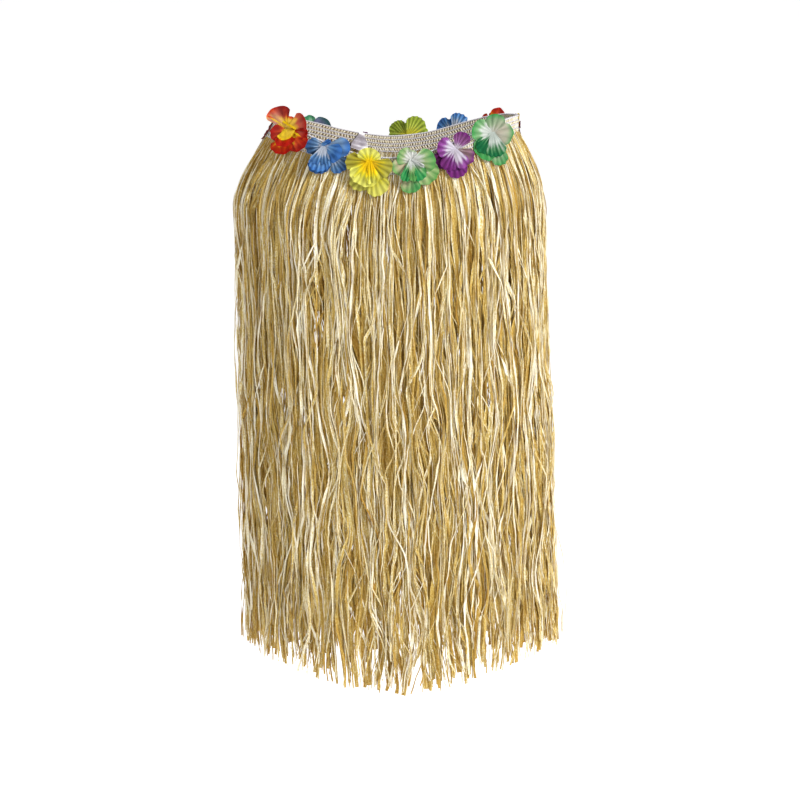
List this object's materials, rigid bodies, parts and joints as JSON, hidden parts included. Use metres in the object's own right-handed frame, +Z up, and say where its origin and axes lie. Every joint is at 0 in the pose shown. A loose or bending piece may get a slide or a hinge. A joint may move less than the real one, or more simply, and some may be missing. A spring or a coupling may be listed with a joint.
{
  "type": "grass skirt",
  "caption": "Raffia fringe skirt on a knitted elastic waistband with cloth flowers sewn round it, held open as worn.",
  "frame": {"origin": "middle of the waist opening, where the wearer holds the skirt up", "axes": "+Z up through the waist, -Y towards the front of the skirt, +X towards the wearer's left"},
  "size_m": [0.4899, 0.2613, 0.8689],
  "materials": {
    "band": "matte knitted elastic with cream raffia stitches",
    "raffia": "dry natural raffia ribbon with a soft sheen",
    "satin": "satin ribbon",
    "petal_red": "thin pleated polyester cloth, slightly translucent",
    "petal_blue": "thin pleated polyester cloth, slightly translucent",
    "petal_yellow": "thin pleated polyester cloth, slightly translucent",
    "petal_green": "thin pleated polyester cloth, slightly translucent",
    "petal_purple": "thin pleated polyester cloth, slightly translucent",
    "petal_lime": "thin pleated polyester cloth, slightly translucent",
    "petal_teal": "thin pleated polyester cloth, slightly translucent"
  },
  "bodies": {
    "root": {"waistband": "band", "fringe_outer": "raffia", "fringe_inner": "raffia", "tag": "satin", "flower_01_outer": "petal_red", "flower_01_inner": "petal_red", "flower_02_outer": "petal_blue", "flower_02_inner": "petal_blue", "flower_03_outer": "petal_yellow", "flower_03_inner": "petal_yellow", "flower_04_outer": "petal_green", "flower_04_inner": "petal_green", "flower_05_outer": "petal_purple", "flower_05_inner": "petal_purple", "flower_06_outer": "petal_green", "flower_06_inner": "petal_green", "flower_07_outer": "petal_red", "flower_07_inner": "petal_red", "flower_08_outer": "petal_red", "flower_08_inner": "petal_red", "flower_09_outer": "petal_blue", "flower_09_inner": "petal_blue", "flower_10_outer": "petal_lime", "flower_10_inner": "petal_lime", "flower_11_outer": "petal_purple", "flower_11_inner": "petal_purple", "flower_12_outer": "petal_teal", "flower_12_inner": "petal_teal", "flower_13_outer": "petal_red", "flower_13_inner": "petal_red"}
  },
  "joints": []
}
